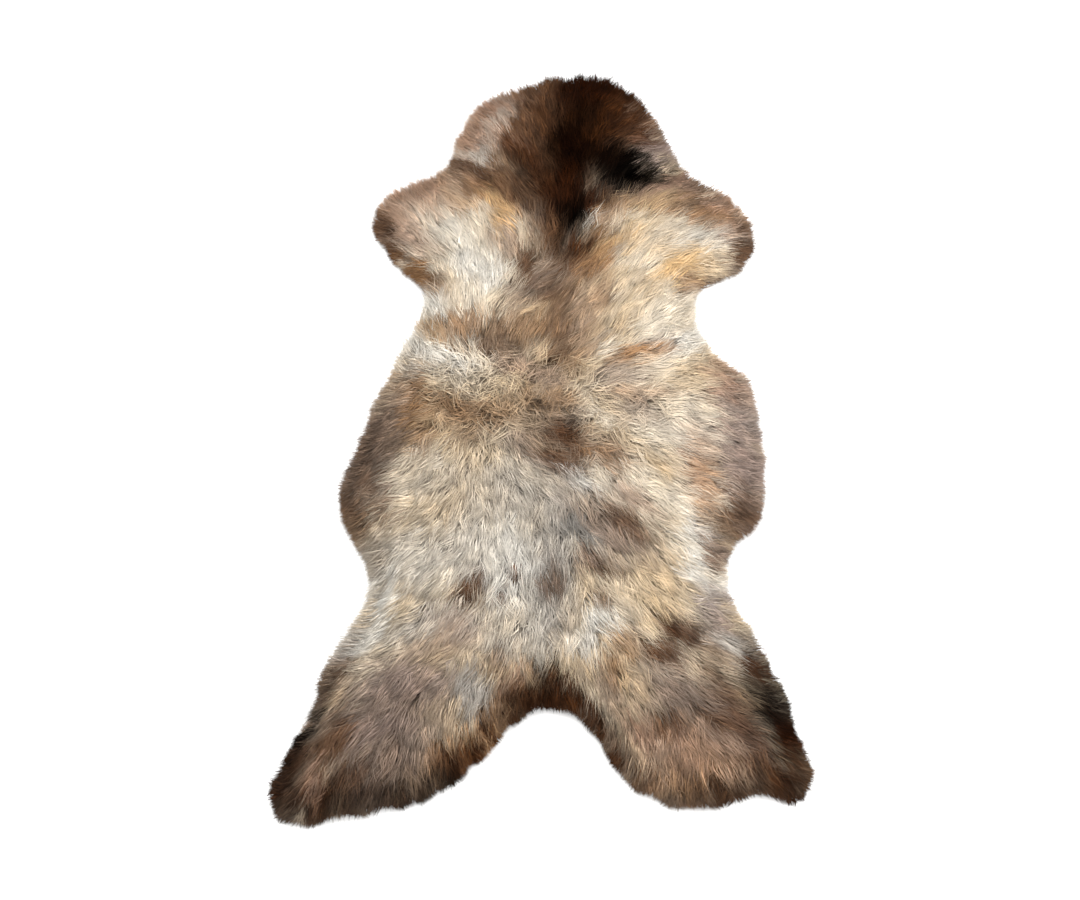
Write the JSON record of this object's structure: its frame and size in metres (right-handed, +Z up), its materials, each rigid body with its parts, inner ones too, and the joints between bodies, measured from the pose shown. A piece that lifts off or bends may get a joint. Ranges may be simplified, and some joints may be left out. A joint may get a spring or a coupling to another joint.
{
  "type": "sheepskin",
  "caption": "Natural-shape sheepskin lying flat, wool side up, with a lumpy crowned pile, pointed rim locks and a flat skin side to rest on.",
  "frame": {"origin": "middle of the outline's box, on the flat skin side that lies on the floor", "axes": "+Z up out of the wool, +Y from the hind legs towards the head, +X to the right when looking towards the head"},
  "size_m": [0.6648, 1.1006, 0.0605],
  "materials": {
    "wool": "matte, long-haired, cream to dark brown"
  },
  "bodies": {
    "root": {"pelt": "wool"}
  },
  "joints": []
}
